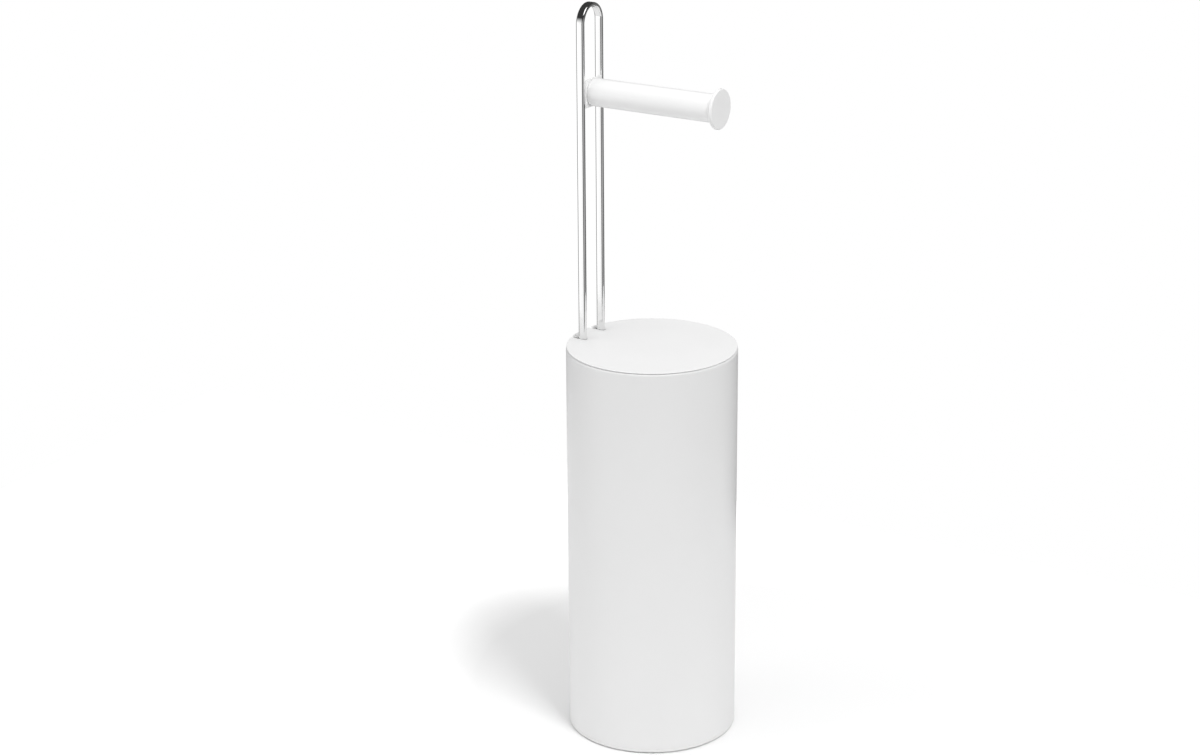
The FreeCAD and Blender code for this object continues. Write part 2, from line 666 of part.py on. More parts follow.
# Lid: a thin-edged moulded disc, a little inside the shell's outline, whose skirt drops into the mouth.
# Two slots, open to the rear, let the legs through, so that it lifts up and draws forward off the bar.
LID = f"({BODY} - dim.lid_inset)"
LID_LOW = f"({RIM_TOP} + dim.lid_gap)"
LID_TOP = f"({LID_LOW} + dim.lid_edge)"
LID_INSIDE = f"({LID_TOP} - dim.lid_thick)"
SKIRT = f"({MOUTH} - dim.skirt_play)"
SKIRT_LOW = f"({LID_INSIDE} - dim.skirt_depth)"
LID_ROUND = "min(dim.lid_round; dim.lid_edge)"
SLOT_FRONT = f"({LEG_FRONT} + dim.slot_play)"
SLOT_HALF = f"({HALF_BAR} + dim.slot_play)"
lid_body = turned("lid_body", [
    ("0", LID_INSIDE),
    (f"{SKIRT} - dim.skirt_wall", LID_INSIDE),
    (f"{SKIRT} - dim.skirt_wall", SKIRT_LOW),
    (SKIRT, SKIRT_LOW),
    (SKIRT, LID_LOW),
    (LID, LID_LOW),
    (LID, f"{LID_TOP} - {LID_ROUND}"),
    (f"{LID} - {LID_ROUND}", LID_TOP, LID_ROUND, LEFT),
    ("0", LID_TOP),
])


def lid_slot(name, side):
    """Cutting shape for one leg's slot, with soft corners at its closed end."""
    return padded(name, [
        (f"-{BODY} - dim.cut_over", f"{side} - {SLOT_HALF}"),
        (f"{SLOT_FRONT} - dim.slot_round", f"{side} - {SLOT_HALF}"),
        (SLOT_FRONT, f"{side} - {SLOT_HALF} + dim.slot_round", "dim.slot_round", LEFT),
        (SLOT_FRONT, f"{side} + {SLOT_HALF} - dim.slot_round"),
        (f"{SLOT_FRONT} - dim.slot_round", f"{side} + {SLOT_HALF}", "dim.slot_round", LEFT),
        (f"-{BODY} - dim.cut_over", f"{side} + {SLOT_HALF}"),
    ], f"{SKIRT_LOW} - dim.cut_over", f"{LID_TOP} + dim.cut_over")


lid = cut("lid", lid_body, [lid_slot("lid_slot_right", f"-{LEG_Y}"), lid_slot("lid_slot_left", LEG_Y)])

# Lid pads: soft dots under the lid's edge that rest on the rim and leave a thin gap all round.
LID_PAD_CIRCLE = f"(({MOUTH} + dim.lip_round + {BODY} - dim.rim_round) / 2)"
lid_pads = group("lid_pads", [
    rod(f"lid_pad_{number}", "dim.lid_pad_radius", *spot, RIM_TOP, LID_LOW)
    for number, spot in enumerate(circle_spots(LID_PAD_CIRCLE, LID_PADS, LID_PAD_ANGLE), 1)
])

# Every piece, with the number of separate solids in it
PIECES = {
    base_moulding: 1,
    ballast_plate: 1,
    bottom_cover: 1,
    cover_screws: COVER_SCREWS,
    foot_pads: FEET,
    canister_shell: 1,
    loop_frame: 1,
    loop_foot_plate: 1,
    foot_plate_screws: len(plate_screw_spots),
    leg_guide: 1,
    leg_clamp: 1,
    clamp_screws: len(clamp_screw_spots),
    arm_bracket: 1,
    arm_spacer: 1,
    arm_tube: 1,
    arm_washer: 1,
    arm_screw: 1,
    arm_end_cap: 1,
    lid: 1,
    lid_pads: LID_PADS,
}

doc.recompute()
for item in doc.Objects:
    if "Invalid" in item.State or "Error" in item.State:
        raise RuntimeError(f"{item.Label} is not built: {item.State}")
for item in doc.findObjects("Part::Cut"):
    if item.Shape.Volume > item.Base.Shape.Volume - SLACK:
        raise RuntimeError(f"{item.Label}: nothing was cut away")
for piece, solids in PIECES.items():
    shape = piece.Shape
    if shape.isNull() or not shape.isValid() or len(shape.Solids) != solids:
        raise RuntimeError(f"{piece.Label} is not {solids} sound solid(s)")

os.makedirs("parts", exist_ok=True)
for piece in PIECES:
    piece.Shape.exportStep(f"parts/{piece.Label}.step")
    print(f"{piece.Label}: {piece.Shape.Volume / 1000:.2f} cm3")
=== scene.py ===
import bmesh
import bpy
import math
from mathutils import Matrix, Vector


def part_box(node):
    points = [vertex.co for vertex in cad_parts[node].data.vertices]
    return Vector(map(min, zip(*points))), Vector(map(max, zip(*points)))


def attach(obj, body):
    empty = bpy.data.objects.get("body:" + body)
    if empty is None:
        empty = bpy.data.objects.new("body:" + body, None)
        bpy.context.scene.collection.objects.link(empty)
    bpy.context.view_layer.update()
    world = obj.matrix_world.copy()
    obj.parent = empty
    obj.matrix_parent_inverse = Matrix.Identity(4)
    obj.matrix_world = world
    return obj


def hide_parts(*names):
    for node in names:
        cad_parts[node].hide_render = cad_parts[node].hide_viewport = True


# A free-standing store for spare toilet rolls: a coated canister with a loose lid, and a bent bar that
# rises behind the rolls and carries an arm for the roll in use.
# Metres, +Z up, the arm along +X, the bar's legs at -X.
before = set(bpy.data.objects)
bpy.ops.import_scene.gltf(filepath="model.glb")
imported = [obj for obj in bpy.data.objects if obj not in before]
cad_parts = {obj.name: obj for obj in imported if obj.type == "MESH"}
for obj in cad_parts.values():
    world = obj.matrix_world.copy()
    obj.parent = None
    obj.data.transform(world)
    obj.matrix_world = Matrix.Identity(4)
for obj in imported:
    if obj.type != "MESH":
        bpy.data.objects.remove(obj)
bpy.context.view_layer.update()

# Base moulding: the white ring under the shell, a spigot that centres the shell and the floor under the
# rolls, moulded in one piece. A window in the floor lets the bar's plate down on to the weight.
MM = 0.001
AROUND = 256
ROUND_STEPS = 6
MERGE = 1e-6
TOUCH = 1e-5
SHARP = math.radians(35)
shell_low, shell_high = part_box("canister_shell")
base_low, base_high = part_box("base_moulding")
cover_low, cover_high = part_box("bottom_cover")
_, ballast_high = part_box("ballast_plate")
plate_low, plate_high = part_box("loop_foot_plate")
BODY_RADIUS = shell_high.x
SEAM = shell_low.z
SHELL_WALL = 0.8 * MM
SPIGOT_PLAY = 0.15 * MM
BASE_WALL = 5.4 * MM
RING_WALL = 4.0 * MM
BALLAST_PLAY = 0.3 * MM
CUT_OVER = 1.0 * MM
SPIGOT_RADIUS = BODY_RADIUS - SHELL_WALL - SPIGOT_PLAY
CAVITY_RADIUS = SPIGOT_RADIUS - BASE_WALL
RECESS_RADIUS = BODY_RADIUS - RING_WALL
FLOOR_LOW = ballast_high.z + BALLAST_PLAY
WINDOW_PLAY = 0.3 * MM
RING_ROUND = 0.8 * MM
SEAM_ROUND = 0.35 * MM
SPIGOT_BEVEL = 1.0 * MM
INNER_ROUND = 0.3 * MM


def open_piece(add, name, **size):
    """Add a primitive by itself as a new piece, with its place in its mesh, and open it for editing."""
    bpy.ops.object.select_all(action="DESELECT")
    add(**size)
    piece = bpy.context.active_object
    piece.name = piece.data.name = name
    bpy.ops.object.transform_apply(location=True, rotation=True, scale=True)
    bpy.ops.object.mode_set(mode="EDIT")
    bpy.ops.mesh.select_mode(type="VERT")
    bpy.ops.mesh.select_all(action="SELECT")
    return piece


def close_piece():
    """Merge what meets, point the faces outwards and leave the piece."""
    bpy.ops.mesh.select_all(action="SELECT")
    bpy.ops.mesh.remove_doubles(threshold=MERGE)
    bpy.ops.mesh.normals_make_consistent(inside=False)
    bpy.ops.object.mode_set(mode="OBJECT")


def pick(kind, test):
    """Select the corners, edges or faces of the open piece that pass a test."""
    bpy.ops.mesh.select_mode(type=kind)
    bpy.ops.mesh.select_all(action="DESELECT")
    mesh = bmesh.from_edit_mesh(bpy.context.edit_object.data)
    for item in {"VERT": mesh.verts, "EDGE": mesh.edges, "FACE": mesh.faces}[kind]:
        item.select_set(bool(test(item)))
    mesh.select_flush_mode()
    bmesh.update_edit_mesh(bpy.context.edit_object.data)


def pick_spot(spot):
    """Select the one corner of the open piece at a spot."""
    pick("VERT", lambda corner: (corner.co - Vector(spot)).length < TOUCH)


def turned(name, corners, steps=AROUND):
    """Piece turned about Z from an outline through (radius, level) corners, or (radius, level, rounding)."""
    spots = [Vector((corner[0], 0, corner[1])) for corner in corners]
    piece = open_piece(bpy.ops.mesh.primitive_plane_add, name, size=MM, location=spots[0])
    bpy.ops.mesh.merge(type="CENTER")
    for start, end in zip(spots, spots[1:]):
        bpy.ops.mesh.extrude_region_move(TRANSFORM_OT_translate={"value": end - start})
    ring = spots[0].x > 0
    if ring:
        pick("VERT", lambda corner: min((corner.co - end).length for end in (spots[0], spots[-1])) < TOUCH)
        bpy.ops.mesh.edge_face_add()
    for spot, corner in zip(spots, corners):
        if len(corner) > 2:
            pick_spot(spot)
            bpy.ops.mesh.bevel(offset=corner[2], segments=ROUND_STEPS, affect="VERTICES")
    bpy.ops.mesh.select_all(action="SELECT")
    bpy.ops.mesh.spin(steps=steps, angle=2 * math.pi, center=(0, 0, 0), axis=(0, 0, 1))
    bpy.ops.mesh.select_all(action="SELECT")
    bpy.ops.mesh.remove_doubles(threshold=MERGE)
    if not ring:
        pick("VERT", lambda corner: corner.co.xy.length < TOUCH)
        bpy.ops.mesh.dissolve_verts()
    close_piece()
    return piece


def bow_slab(name, radius, front, half, low, high):
    """Upright slab with a round back: a disc cut straight across its front and both its sides."""
    piece = open_piece(bpy.ops.mesh.primitive_cylinder_add, name, vertices=AROUND, radius=radius,
                       depth=high - low, location=(0, 0, (low + high) / 2))
    for spot, outward in (((front, 0, 0), (1, 0, 0)), ((0, half, 0), (0, 1, 0)), ((0, -half, 0), (0, -1, 0))):
        bpy.ops.mesh.select_all(action="SELECT")
        bpy.ops.mesh.bisect(plane_co=spot, plane_no=outward, use_fill=True, clear_outer=True)
    close_piece()
    return piece


def only(piece):
    """Make one piece the only one selected."""
    bpy.ops.object.select_all(action="DESELECT")
    piece.select_set(True)
    bpy.context.view_layer.objects.active = piece


def cut_away(piece, *cutters):
    """Take the cutters out of a piece."""
    for cutter in cutters:
        only(piece)
        bpy.ops.object.modifier_add(type="BOOLEAN")
        cut = piece.modifiers[-1]
        cut.object = cutter
        bpy.ops.object.modifier_apply(modifier=cut.name)
        bpy.data.objects.remove(cutter)


def ease_edges(piece, width, test, steps=2):
    """Round over the sharp edges of a piece that pass a test."""
    only(piece)
    bpy.ops.object.mode_set(mode="EDIT")
    pick("EDGE", lambda edge: edge.calc_face_angle(0) > SHARP and test(edge))
    bpy.ops.mesh.bevel(offset=width, segments=steps, affect="EDGES")
    bpy.ops.object.mode_set(mode="OBJECT")


def finished(piece, finish, body, slot, *nodes):
    """Smooth a piece, give it its finish and set it on its body in place of the frame's nodes."""
    only(piece)
    bpy.ops.object.shade_smooth_by_angle(angle=SHARP)
    bpy.ops.object.modifier_add(type="WEIGHTED_NORMAL")
    piece.modifiers[-1].keep_sharp = True
    bpy.ops.object.modifier_apply(modifier=piece.modifiers[-1].name)
    piece.data.materials.clear()
    piece.data.materials.append(finish)
    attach(piece, body)
    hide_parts(*nodes)


def put(tree, kind, inputs=None, **settings):
    """Add a node with its settings and the values of its inputs."""
    item = tree.nodes.new(kind)
    for name, value in settings.items():
        setattr(item, name, value)
    for name, value in (inputs or {}).items():
        item.inputs[name].default_value = value
    return item


def new_group(name, inputs, outputs):
    """Start a shader group: its tree, its input node and its output node."""
    group = bpy.data.node_groups.new(name, "ShaderNodeTree")
    for socket, kind, value in inputs:
        group.interface.new_socket(socket, in_out="INPUT", socket_type=kind).default_value = value
    for socket in outputs:
        group.interface.new_socket(socket, in_out="OUTPUT", socket_type="NodeSocketFloat")
    return group, put(group, "NodeGroupInput"), put(group, "NodeGroupOutput")


# Surface grain, shared by all that is moulded or sprayed: a fine height, and a slow drift in tone.
grain_group, grain_in, grain_out = new_group(
    "surface_grain",
    [("Grain Scale", "NodeSocketFloat", 1500.0), ("Drift Scale", "NodeSocketFloat", 20.0)],
    ["Grain", "Drift"],
)
grain_place = put(grain_group, "ShaderNodeTexCoord")
grain_noise = put(grain_group, "ShaderNodeTexNoise", {"Detail": 2.0, "Roughness": 0.55})
drift_noise = put(grain_group, "ShaderNodeTexNoise", {"Detail": 3.0, "Roughness": 0.5})
for noise, scale, result in ((grain_noise, "Grain Scale", "Grain"), (drift_noise, "Drift Scale", "Drift")):
    grain_group.links.new(grain_place.outputs["Object"], noise.inputs["Vector"])
    grain_group.links.new(grain_in.outputs[scale], noise.inputs["Scale"])
    grain_group.links.new(noise.outputs["Fac"], grain_out.inputs[result])


def blended(tree, factor, low, high):
    """Colour that goes from low to high with a mask."""
    mix = put(tree, "ShaderNodeMix", data_type="RGBA")
    mix.inputs["A"].default_value = (*low, 1)
    mix.inputs["B"].default_value = (*high, 1)
    tree.links.new(factor, mix.inputs["Factor"])
    return mix.outputs["Result"]


def ranged(tree, factor, low, high):
    """Value that goes from low to high with a mask."""
    span = put(tree, "ShaderNodeMapRange", {"To Min": low, "To Max": high})
    tree.links.new(factor, span.inputs["Value"])
    return span.outputs["Result"]


def bumped(tree, height, depth):
    """Normal from a height of 0 to 1 that stands for a depth."""
    bump = put(tree, "ShaderNodeBump", {"Strength": 1.0, "Distance": depth})
    tree.links.new(height, bump.inputs["Height"])
    return bump.outputs["Normal"]


def moulded(name, shade, light, gloss, dull, grain_scale, grain_depth, drift_scale=25.0):
    """Moulded or sprayed finish: two close tones, a drifting gloss and a fine grain."""
    finish = bpy.data.materials.new(name)
    finish.use_nodes = True
    tree = finish.node_tree
    shader = tree.nodes["Principled BSDF"]
    grain = put(tree, "ShaderNodeGroup", node_tree=grain_group)
    grain.inputs["Grain Scale"].default_value = grain_scale
    grain.inputs["Drift Scale"].default_value = drift_scale
    tree.links.new(blended(tree, grain.outputs["Drift"], shade, light), shader.inputs["Base Color"])
    tree.links.new(ranged(tree, grain.outputs["Drift"], gloss, dull), shader.inputs["Roughness"])
    tree.links.new(bumped(tree, grain.outputs["Grain"], grain_depth), shader.inputs["Normal"])
    return finish


base_finish = moulded("satin_white_moulding", (0.80, 0.80, 0.795), (0.83, 0.83, 0.825), 0.36, 0.44,
                      1800.0, 0.012 * MM)
base = turned("white_base", [
    (0, FLOOR_LOW),
    (CAVITY_RADIUS, FLOOR_LOW, INNER_ROUND),
    (CAVITY_RADIUS, cover_high.z),
    (RECESS_RADIUS, cover_high.z),
    (RECESS_RADIUS, base_low.z, INNER_ROUND),
    (BODY_RADIUS, base_low.z, RING_ROUND),
    (BODY_RADIUS, SEAM, SEAM_ROUND),
    (SPIGOT_RADIUS, SEAM),
    (SPIGOT_RADIUS, base_high.z, SPIGOT_BEVEL),
    (0, base_high.z),
])
window = bow_slab("base_window", -plate_low.x + WINDOW_PLAY, plate_high.x + WINDOW_PLAY,
                  plate_high.y + WINDOW_PLAY, plate_low.z, base_high.z + CUT_OVER)
cut_away(base, window)
ease_edges(base, INNER_ROUND, lambda edge: all(end.co.z > base_high.z - TOUCH for end in edge.verts))
finished(base, base_finish, "stand", "base_plastic", "base_moulding")

# Bottom cover: a flat moulded disc let into the base under the weight, with pockets for the feet and
# countersinks for the four screws that hold it up to the base's bosses.
SCREW_PLAY = 0.1 * MM
SOCKET_DEPTH = 1.3 * MM
SOCKET_EASE = 0.12 * MM
HEXAGON = 6
SCREW_STEPS = 64
FOOT_STEPS = 96
COVER_SCREWS = 4
FEET = 4
DIAGONAL = math.radians(45)
COVER_SCREW = {"head": 3.2 * MM, "shank": 1.6 * MM, "length": 11.0 * MM, "socket": 1.1 * MM}
_, foot_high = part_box("foot_pads")
_, screw_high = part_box("cover_screws")
FOOT_RADIUS = 8.0 * MM
FOOT_CIRCLE = foot_high.x - FOOT_RADIUS
COVER_SCREW_CIRCLE = (screw_high.x - COVER_SCREW["head"]) * math.sqrt(2)
UPSIDE_DOWN = (math.pi, 0, 0)


def circle_spots(radius, level, count, first_angle):
    """Evenly spaced spots on a level circle about Z."""
    turns = [first_angle + number * 2 * math.pi / count for number in range(count)]
    return [Vector((radius * math.cos(turn), radius * math.sin(turn), level)) for turn in turns]


def placed_set(piece, name, spots, turn=(0, 0, 0)):
    """Set copies of a piece at several spots and join them as one set."""
    copies = []
    for spot in spots:
        only(piece)
        bpy.ops.object.duplicate(linked=False)
        copy = bpy.context.active_object
        copy.location = spot
        copy.rotation_euler = turn
        bpy.ops.object.transform_apply(location=True, rotation=True, scale=True)
        copies.append(copy)
    bpy.data.objects.remove(piece)
    only(copies[0])
    for copy in copies:
        copy.select_set(True)
    bpy.ops.object.join()
    copies[0].name = copies[0].data.name = name
    return copies[0]


def sunk_outline(head, shank, length):
    """Outline of a countersunk screw, or of its hole, with the flat of the head at level 0."""
    return [(0, -length), (shank, -length), (shank, shank - head), (head, 0), (0, 0)]


def sunk_screws(name, screw, spots, turn):
    """Countersunk screws with hexagon sockets, their heads' flats at the spots."""
    stem = turned(f"{name}_stem", sunk_outline(screw["head"], screw["shank"], screw["length"]), SCREW_STEPS)
    socket = open_piece(bpy.ops.mesh.primitive_cylinder_add, f"{name}_socket", vertices=HEXAGON,
                        radius=screw["socket"], depth=2 * SOCKET_DEPTH)
    close_piece()
    cut_away(stem, socket)
    ease_edges(stem, SOCKET_EASE, lambda edge: all(end.co.z > -TOUCH for end in edge.verts))
    return placed_set(stem, name, spots, turn)


def sunk_holes(name, screw, spots, turn):
    """Cutting shapes for countersunk screws and the play round them."""
    outline = sunk_outline(screw["head"] + SCREW_PLAY, screw["shank"] + SCREW_PLAY, screw["length"])
    return placed_set(turned(f"{name}_sink", outline, SCREW_STEPS), name, spots, turn)


cover_spots = circle_spots(COVER_SCREW_CIRCLE, cover_low.z, COVER_SCREWS, DIAGONAL)
foot_spots = circle_spots(FOOT_CIRCLE, 0, FEET, 0)
cover = turned("bottom_disc", [
    (0, cover_low.z),
    (cover_high.x, cover_low.z, INNER_ROUND),
    (cover_high.x, cover_high.z),
    (0, cover_high.z),
])
pocket = turned("foot_pocket", [
    (0, -CUT_OVER),
    (FOOT_RADIUS + SCREW_PLAY, -CUT_OVER),
    (FOOT_RADIUS + SCREW_PLAY, foot_high.z),
    (0, foot_high.z),
], FOOT_STEPS)
cut_away(cover, placed_set(pocket, "foot_pockets", foot_spots))
cut_away(cover, sunk_holes("cover_sinks", COVER_SCREW, cover_spots, UPSIDE_DOWN))
finished(cover, base_finish, "stand", "base_plastic", "bottom_cover")

# Screws of the cover: zinc-plated, countersunk, with hexagon sockets.
ZINC_SHADE = (0.60, 0.61, 0.61)
ZINC_LIGHT = (0.72, 0.72, 0.70)


def metal(finish):
    """Make a moulded finish a metal one."""
    finish.node_tree.nodes["Principled BSDF"].inputs["Metallic"].default_value = 1.0
    return finish


zinc_finish = metal(moulded("bright_zinc_plate", ZINC_SHADE, ZINC_LIGHT, 0.24, 0.38,
                            2600.0, 0.006 * MM, 400.0))
cover_screws = sunk_screws("cover_screw_set", COVER_SCREW, cover_spots, UPSIDE_DOWN)
finished(cover_screws, zinc_finish, "stand", "plated_screw", "cover_screws")

# Feet: soft rubber discs stuck in the cover's pockets, slightly dished underneath so that they grip.
FOOT_ROUND = 0.6 * MM
FOOT_DISH = 0.15 * MM
DISH_RADIUS = 5.6 * MM
DISH_EDGE = 6.0 * MM
rubber_finish = moulded("soft_grey_rubber", (0.26, 0.26, 0.26), (0.32, 0.32, 0.32), 0.72, 0.85,
                        1500.0, 0.02 * MM)
foot = turned("rubber_foot", [
    (0, FOOT_DISH),
    (DISH_RADIUS, FOOT_DISH),
    (DISH_EDGE, 0),
    (FOOT_RADIUS, 0, FOOT_ROUND),
    (FOOT_RADIUS, foot_high.z, FOOT_DISH),
    (0, foot_high.z),
], FOOT_STEPS)
feet = placed_set(foot, "rubber_feet", foot_spots)
finished(feet, rubber_finish, "stand", "foot_rubber", "foot_pads")

# Canister shell: thin steel sheet rolled and welded into a tube, its rim folded in over the mouth and
# down as a lip, then powder coated white inside and out. It is bonded on the base's spigot.
RIM = shell_high.z
RIM_ROUND = 2.0 * MM
LIP_ROUND = 1.4 * MM
LIP_DEPTH = 6.0 * MM
RIM_WIDTH = 6.5 * MM
BORE_RADIUS = BODY_RADIUS - SHELL_WALL
MOUTH_RADIUS = BODY_RADIUS - RIM_WIDTH
coat_finish = moulded("white_powder_coat", (0.795, 0.795, 0.795), (0.815, 0.815, 0.815), 0.30, 0.36,
                      420.0, 0.012 * MM, 14.0)
shell = turned("coated_shell", [
    (BORE_RADIUS, SEAM),
    (BODY_RADIUS, SEAM, SEAM_ROUND),
    (BODY_RADIUS, RIM, RIM_ROUND),
    (MOUTH_RADIUS, RIM, LIP_ROUND),
    (MOUTH_RADIUS, RIM - LIP_DEPTH),
    (MOUTH_RADIUS + SHELL_WALL, RIM - LIP_DEPTH),
    (MOUTH_RADIUS + SHELL_WALL, RIM - SHELL_WALL, LIP_ROUND - SHELL_WALL),
    (BORE_RADIUS, RIM - SHELL_WALL, RIM_ROUND - SHELL_WALL),
])
finished(shell, coat_finish, "stand", "shell_coat", "canister_shell")

# Foot plate: plain steel under both legs, welded to them and held down on the weight by three
# countersunk screws. It keeps the marks of the saw that cut it.
PLATE_EASE = 0.4 * MM
PLATE_SCREW = {"head": 4.6 * MM, "shank": 2.5 * MM, "length": 11.5 * MM, "socket": 1.7 * MM}
PLATE_SCREW_INSET = 6.5 * MM
loop_low, loop_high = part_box("loop_frame")
bracket_low, bracket_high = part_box("arm_bracket")
BAR_DEPTH = loop_high.x - loop_low.x
BAR_THICK = loop_high.y - bracket_high.y
LEG_X = (loop_low.x + loop_high.x) / 2
LEG_Y = loop_high.y - BAR_THICK / 2
plate_spots = [
    Vector((plate_high.x - PLATE_SCREW_INSET, -LEG_Y, plate_high.z)),
    Vector((plate_high.x - PLATE_SCREW_INSET, LEG_Y, plate_high.z)),
    Vector((LEG_X, 0, plate_high.z)),
]
steel_finish = metal(moulded("plain_sawn_steel", (0.40, 0.40, 0.40), (0.50, 0.50, 0.49), 0.34, 0.5,
                             900.0, 0.02 * MM, 60.0))
plate = bow_slab("plate_under_loop", -plate_low.x, plate_high.x, plate_high.y, plate_low.z, plate_high.z)
ease_edges(plate, PLATE_EASE, lambda edge: all(end.co.z > plate_high.z - TOUCH for end in edge.verts))
cut_away(plate, sunk_holes("plate_sinks", PLATE_SCREW, plate_spots, (0, 0, 0)))
finished(plate, steel_finish, "stand", "raw_steel", "loop_foot_plate")
plate_screws = sunk_screws("plate_screw_set", PLATE_SCREW, plate_spots, (0, 0, 0))
finished(plate_screws, zinc_finish, "stand", "plated_screw", "foot_plate_screws")
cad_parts["ballast_plate"].material_slots[0].material = steel_finish

# Loop: one flat steel bar with rounded edges, bent round a half circle, so that two legs stand side by
# side. It is polished to a mirror along its length and plated.
BAR_ROUND = 1.6 * MM
ARCH_STEPS = 96
ARCH_Z = loop_high.z - loop_high.y
POLISH_SCALE = 1400.0
POLISH_DEPTH = 0.0006 * MM
POLISH_DRIFT = 40.0
PLATE_SHADE = (0.80, 0.80, 0.80)
PLATE_LIGHT = (0.86, 0.86, 0.86)
PLATE_GLOSS = (0.05, 0.10)


def polished(name):
    """Polished bar: faint lines along the bar, which follow it round the arch."""
    finish = bpy.data.materials.new(name)
    finish.use_nodes = True
    tree = finish.node_tree
    shader = tree.nodes["Principled BSDF"]
    shader.inputs["Metallic"].default_value = 1.0
    place = put(tree, "ShaderNodeTexCoord")
    apart = put(tree, "ShaderNodeSeparateXYZ")
    above = put(tree, "ShaderNodeMath", operation="SUBTRACT")
    above.inputs[1].default_value = ARCH_Z
    above_arch = put(tree, "ShaderNodeMath", operation="MAXIMUM")
    above_arch.inputs[1].default_value = 0.0
    across = put(tree, "ShaderNodeCombineXYZ")
    reach = put(tree, "ShaderNodeVectorMath", operation="LENGTH")
    lines_place = put(tree, "ShaderNodeCombineXYZ")
    lines = put(tree, "ShaderNodeTexNoise", {"Scale": POLISH_SCALE, "Detail": 2.0})
    drift = put(tree, "ShaderNodeTexNoise", {"Scale": POLISH_DRIFT, "Detail": 2.0})
    tree.links.new(place.outputs["Object"], apart.inputs[0])
    tree.links.new(place.outputs["Object"], drift.inputs["Vector"])
    tree.links.new(apart.outputs["Z"], above.inputs[0])
    tree.links.new(above.outputs[0], above_arch.inputs[0])
    tree.links.new(apart.outputs["Y"], across.inputs["Y"])
    tree.links.new(above_arch.outputs[0], across.inputs["Z"])
    tree.links.new(across.outputs[0], reach.inputs[0])
    tree.links.new(apart.outputs["X"], lines_place.inputs["X"])
    tree.links.new(reach.outputs["Value"], lines_place.inputs["Y"])
    tree.links.new(lines_place.outputs[0], lines.inputs["Vector"])
    tree.links.new(blended(tree, drift.outputs["Fac"], PLATE_SHADE, PLATE_LIGHT), shader.inputs["Base Color"])
    tree.links.new(ranged(tree, lines.outputs["Fac"], *PLATE_GLOSS), shader.inputs["Roughness"])
    tree.links.new(bumped(tree, lines.outputs["Fac"], POLISH_DEPTH), shader.inputs["Normal"])
    return finish


bar_finish = polished("polished_bar_plate")
LEG_FOOT = (LEG_X, -LEG_Y, loop_low.z)
loop = open_piece(bpy.ops.mesh.primitive_plane_add, "polished_loop", size=BAR_DEPTH, location=LEG_FOOT)
bpy.ops.transform.resize(value=(1, BAR_THICK / BAR_DEPTH, 1), center_override=LEG_FOOT)
bpy.ops.mesh.bevel(offset=BAR_ROUND, segments=ROUND_STEPS, affect="VERTICES")
bpy.ops.mesh.select_all(action="SELECT")
bpy.ops.mesh.extrude_region_move(TRANSFORM_OT_translate={"value": (0, 0, ARCH_Z - loop_low.z)})
bpy.ops.mesh.spin(steps=ARCH_STEPS, angle=math.pi, center=(LEG_X, 0, ARCH_Z), axis=(1, 0, 0))
bpy.ops.mesh.extrude_region_move(TRANSFORM_OT_translate={"value": (0, 0, loop_low.z - ARCH_Z)})
close_piece()
finished(loop, bar_finish, "stand", "polished_bar", "loop_frame")

# Leg guide, clamp and their screws: a moulded block bonded inside the shell holds a leg in each of its
# two channels, and a moulded strap, screwed across the front, closes them.
guide_low, guide_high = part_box("leg_guide")
clamp_low, clamp_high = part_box("leg_clamp")
CHANNEL_PLAY = 0.2 * MM
GUIDE_EASE = 0.5 * MM
CLAMP_ROUND = 2.0 * MM
CLAMP_PITCH = 12.0 * MM
CLAMP_SCREW = {"head": 3.8 * MM, "shank": 2.0 * MM, "length": 12.0 * MM, "socket": 1.4 * MM}
FACING_FRONT = (0, math.pi / 2, 0)
guide_middle = (guide_low.z + guide_high.z) / 2
clamp_spots = [Vector((clamp_high.x, 0, guide_middle + side * CLAMP_PITCH / 2)) for side in (-1, 1)]


def block(name, low, high):
    """Box between two corners."""
    piece = open_piece(bpy.ops.mesh.primitive_cube_add, name, size=1,
                       location=(Vector(low) + Vector(high)) / 2, scale=Vector(high) - Vector(low))
    close_piece()
    return piece


def upright(edge):
    """Whether an edge runs along Z."""
    return (edge.verts[0].co - edge.verts[1].co).xy.length < TOUCH


guide_finish = moulded("textured_white_moulding", (0.77, 0.77, 0.76), (0.80, 0.80, 0.79), 0.5, 0.6,
                       1400.0, 0.025 * MM)
guide = bow_slab("guide_block", -guide_low.x, guide_high.x, guide_high.y, guide_low.z, guide_high.z)
ease_edges(guide, GUIDE_EASE, lambda edge: True)
for side in (-LEG_Y, LEG_Y):
    half = BAR_THICK / 2 + CHANNEL_PLAY
    cut_away(guide, block("channel", (loop_low.x - CHANNEL_PLAY, side - half, guide_low.z - CUT_OVER),
                          (guide_high.x + CUT_OVER, side + half, guide_high.z + CUT_OVER)))
cut_away(guide, sunk_holes("guide_holes", CLAMP_SCREW, clamp_spots, FACING_FRONT))
finished(guide, guide_finish, "stand", "guide_plastic", "leg_guide")
clamp = block("clamp_strap", clamp_low, clamp_high)
ease_edges(clamp, CLAMP_ROUND,
           lambda edge: upright(edge) and edge.verts[0].co.x > clamp_high.x - TOUCH, ROUND_STEPS)
ease_edges(clamp, GUIDE_EASE / 2, lambda edge: True)
cut_away(clamp, sunk_holes("clamp_sinks", CLAMP_SCREW, clamp_spots, FACING_FRONT))
finished(clamp, guide_finish, "stand", "guide_plastic", "leg_clamp")
clamp_screws = sunk_screws("clamp_screw_set", CLAMP_SCREW, clamp_spots, FACING_FRONT)
finished(clamp_screws, zinc_finish, "stand", "plated_screw", "clamp_screws")

# Arm bracket, screw and washer: a polished cross bar welded between the legs takes one button-headed
# screw, zinc-plated like its washer and driven from inside the arm.
arm_low, arm_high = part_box("arm_tube")
ARM_Z = (arm_low.z + arm_high.z) / 2
ARM_HOLE = 3.1 * MM
BRACKET_EASE = 0.5 * MM


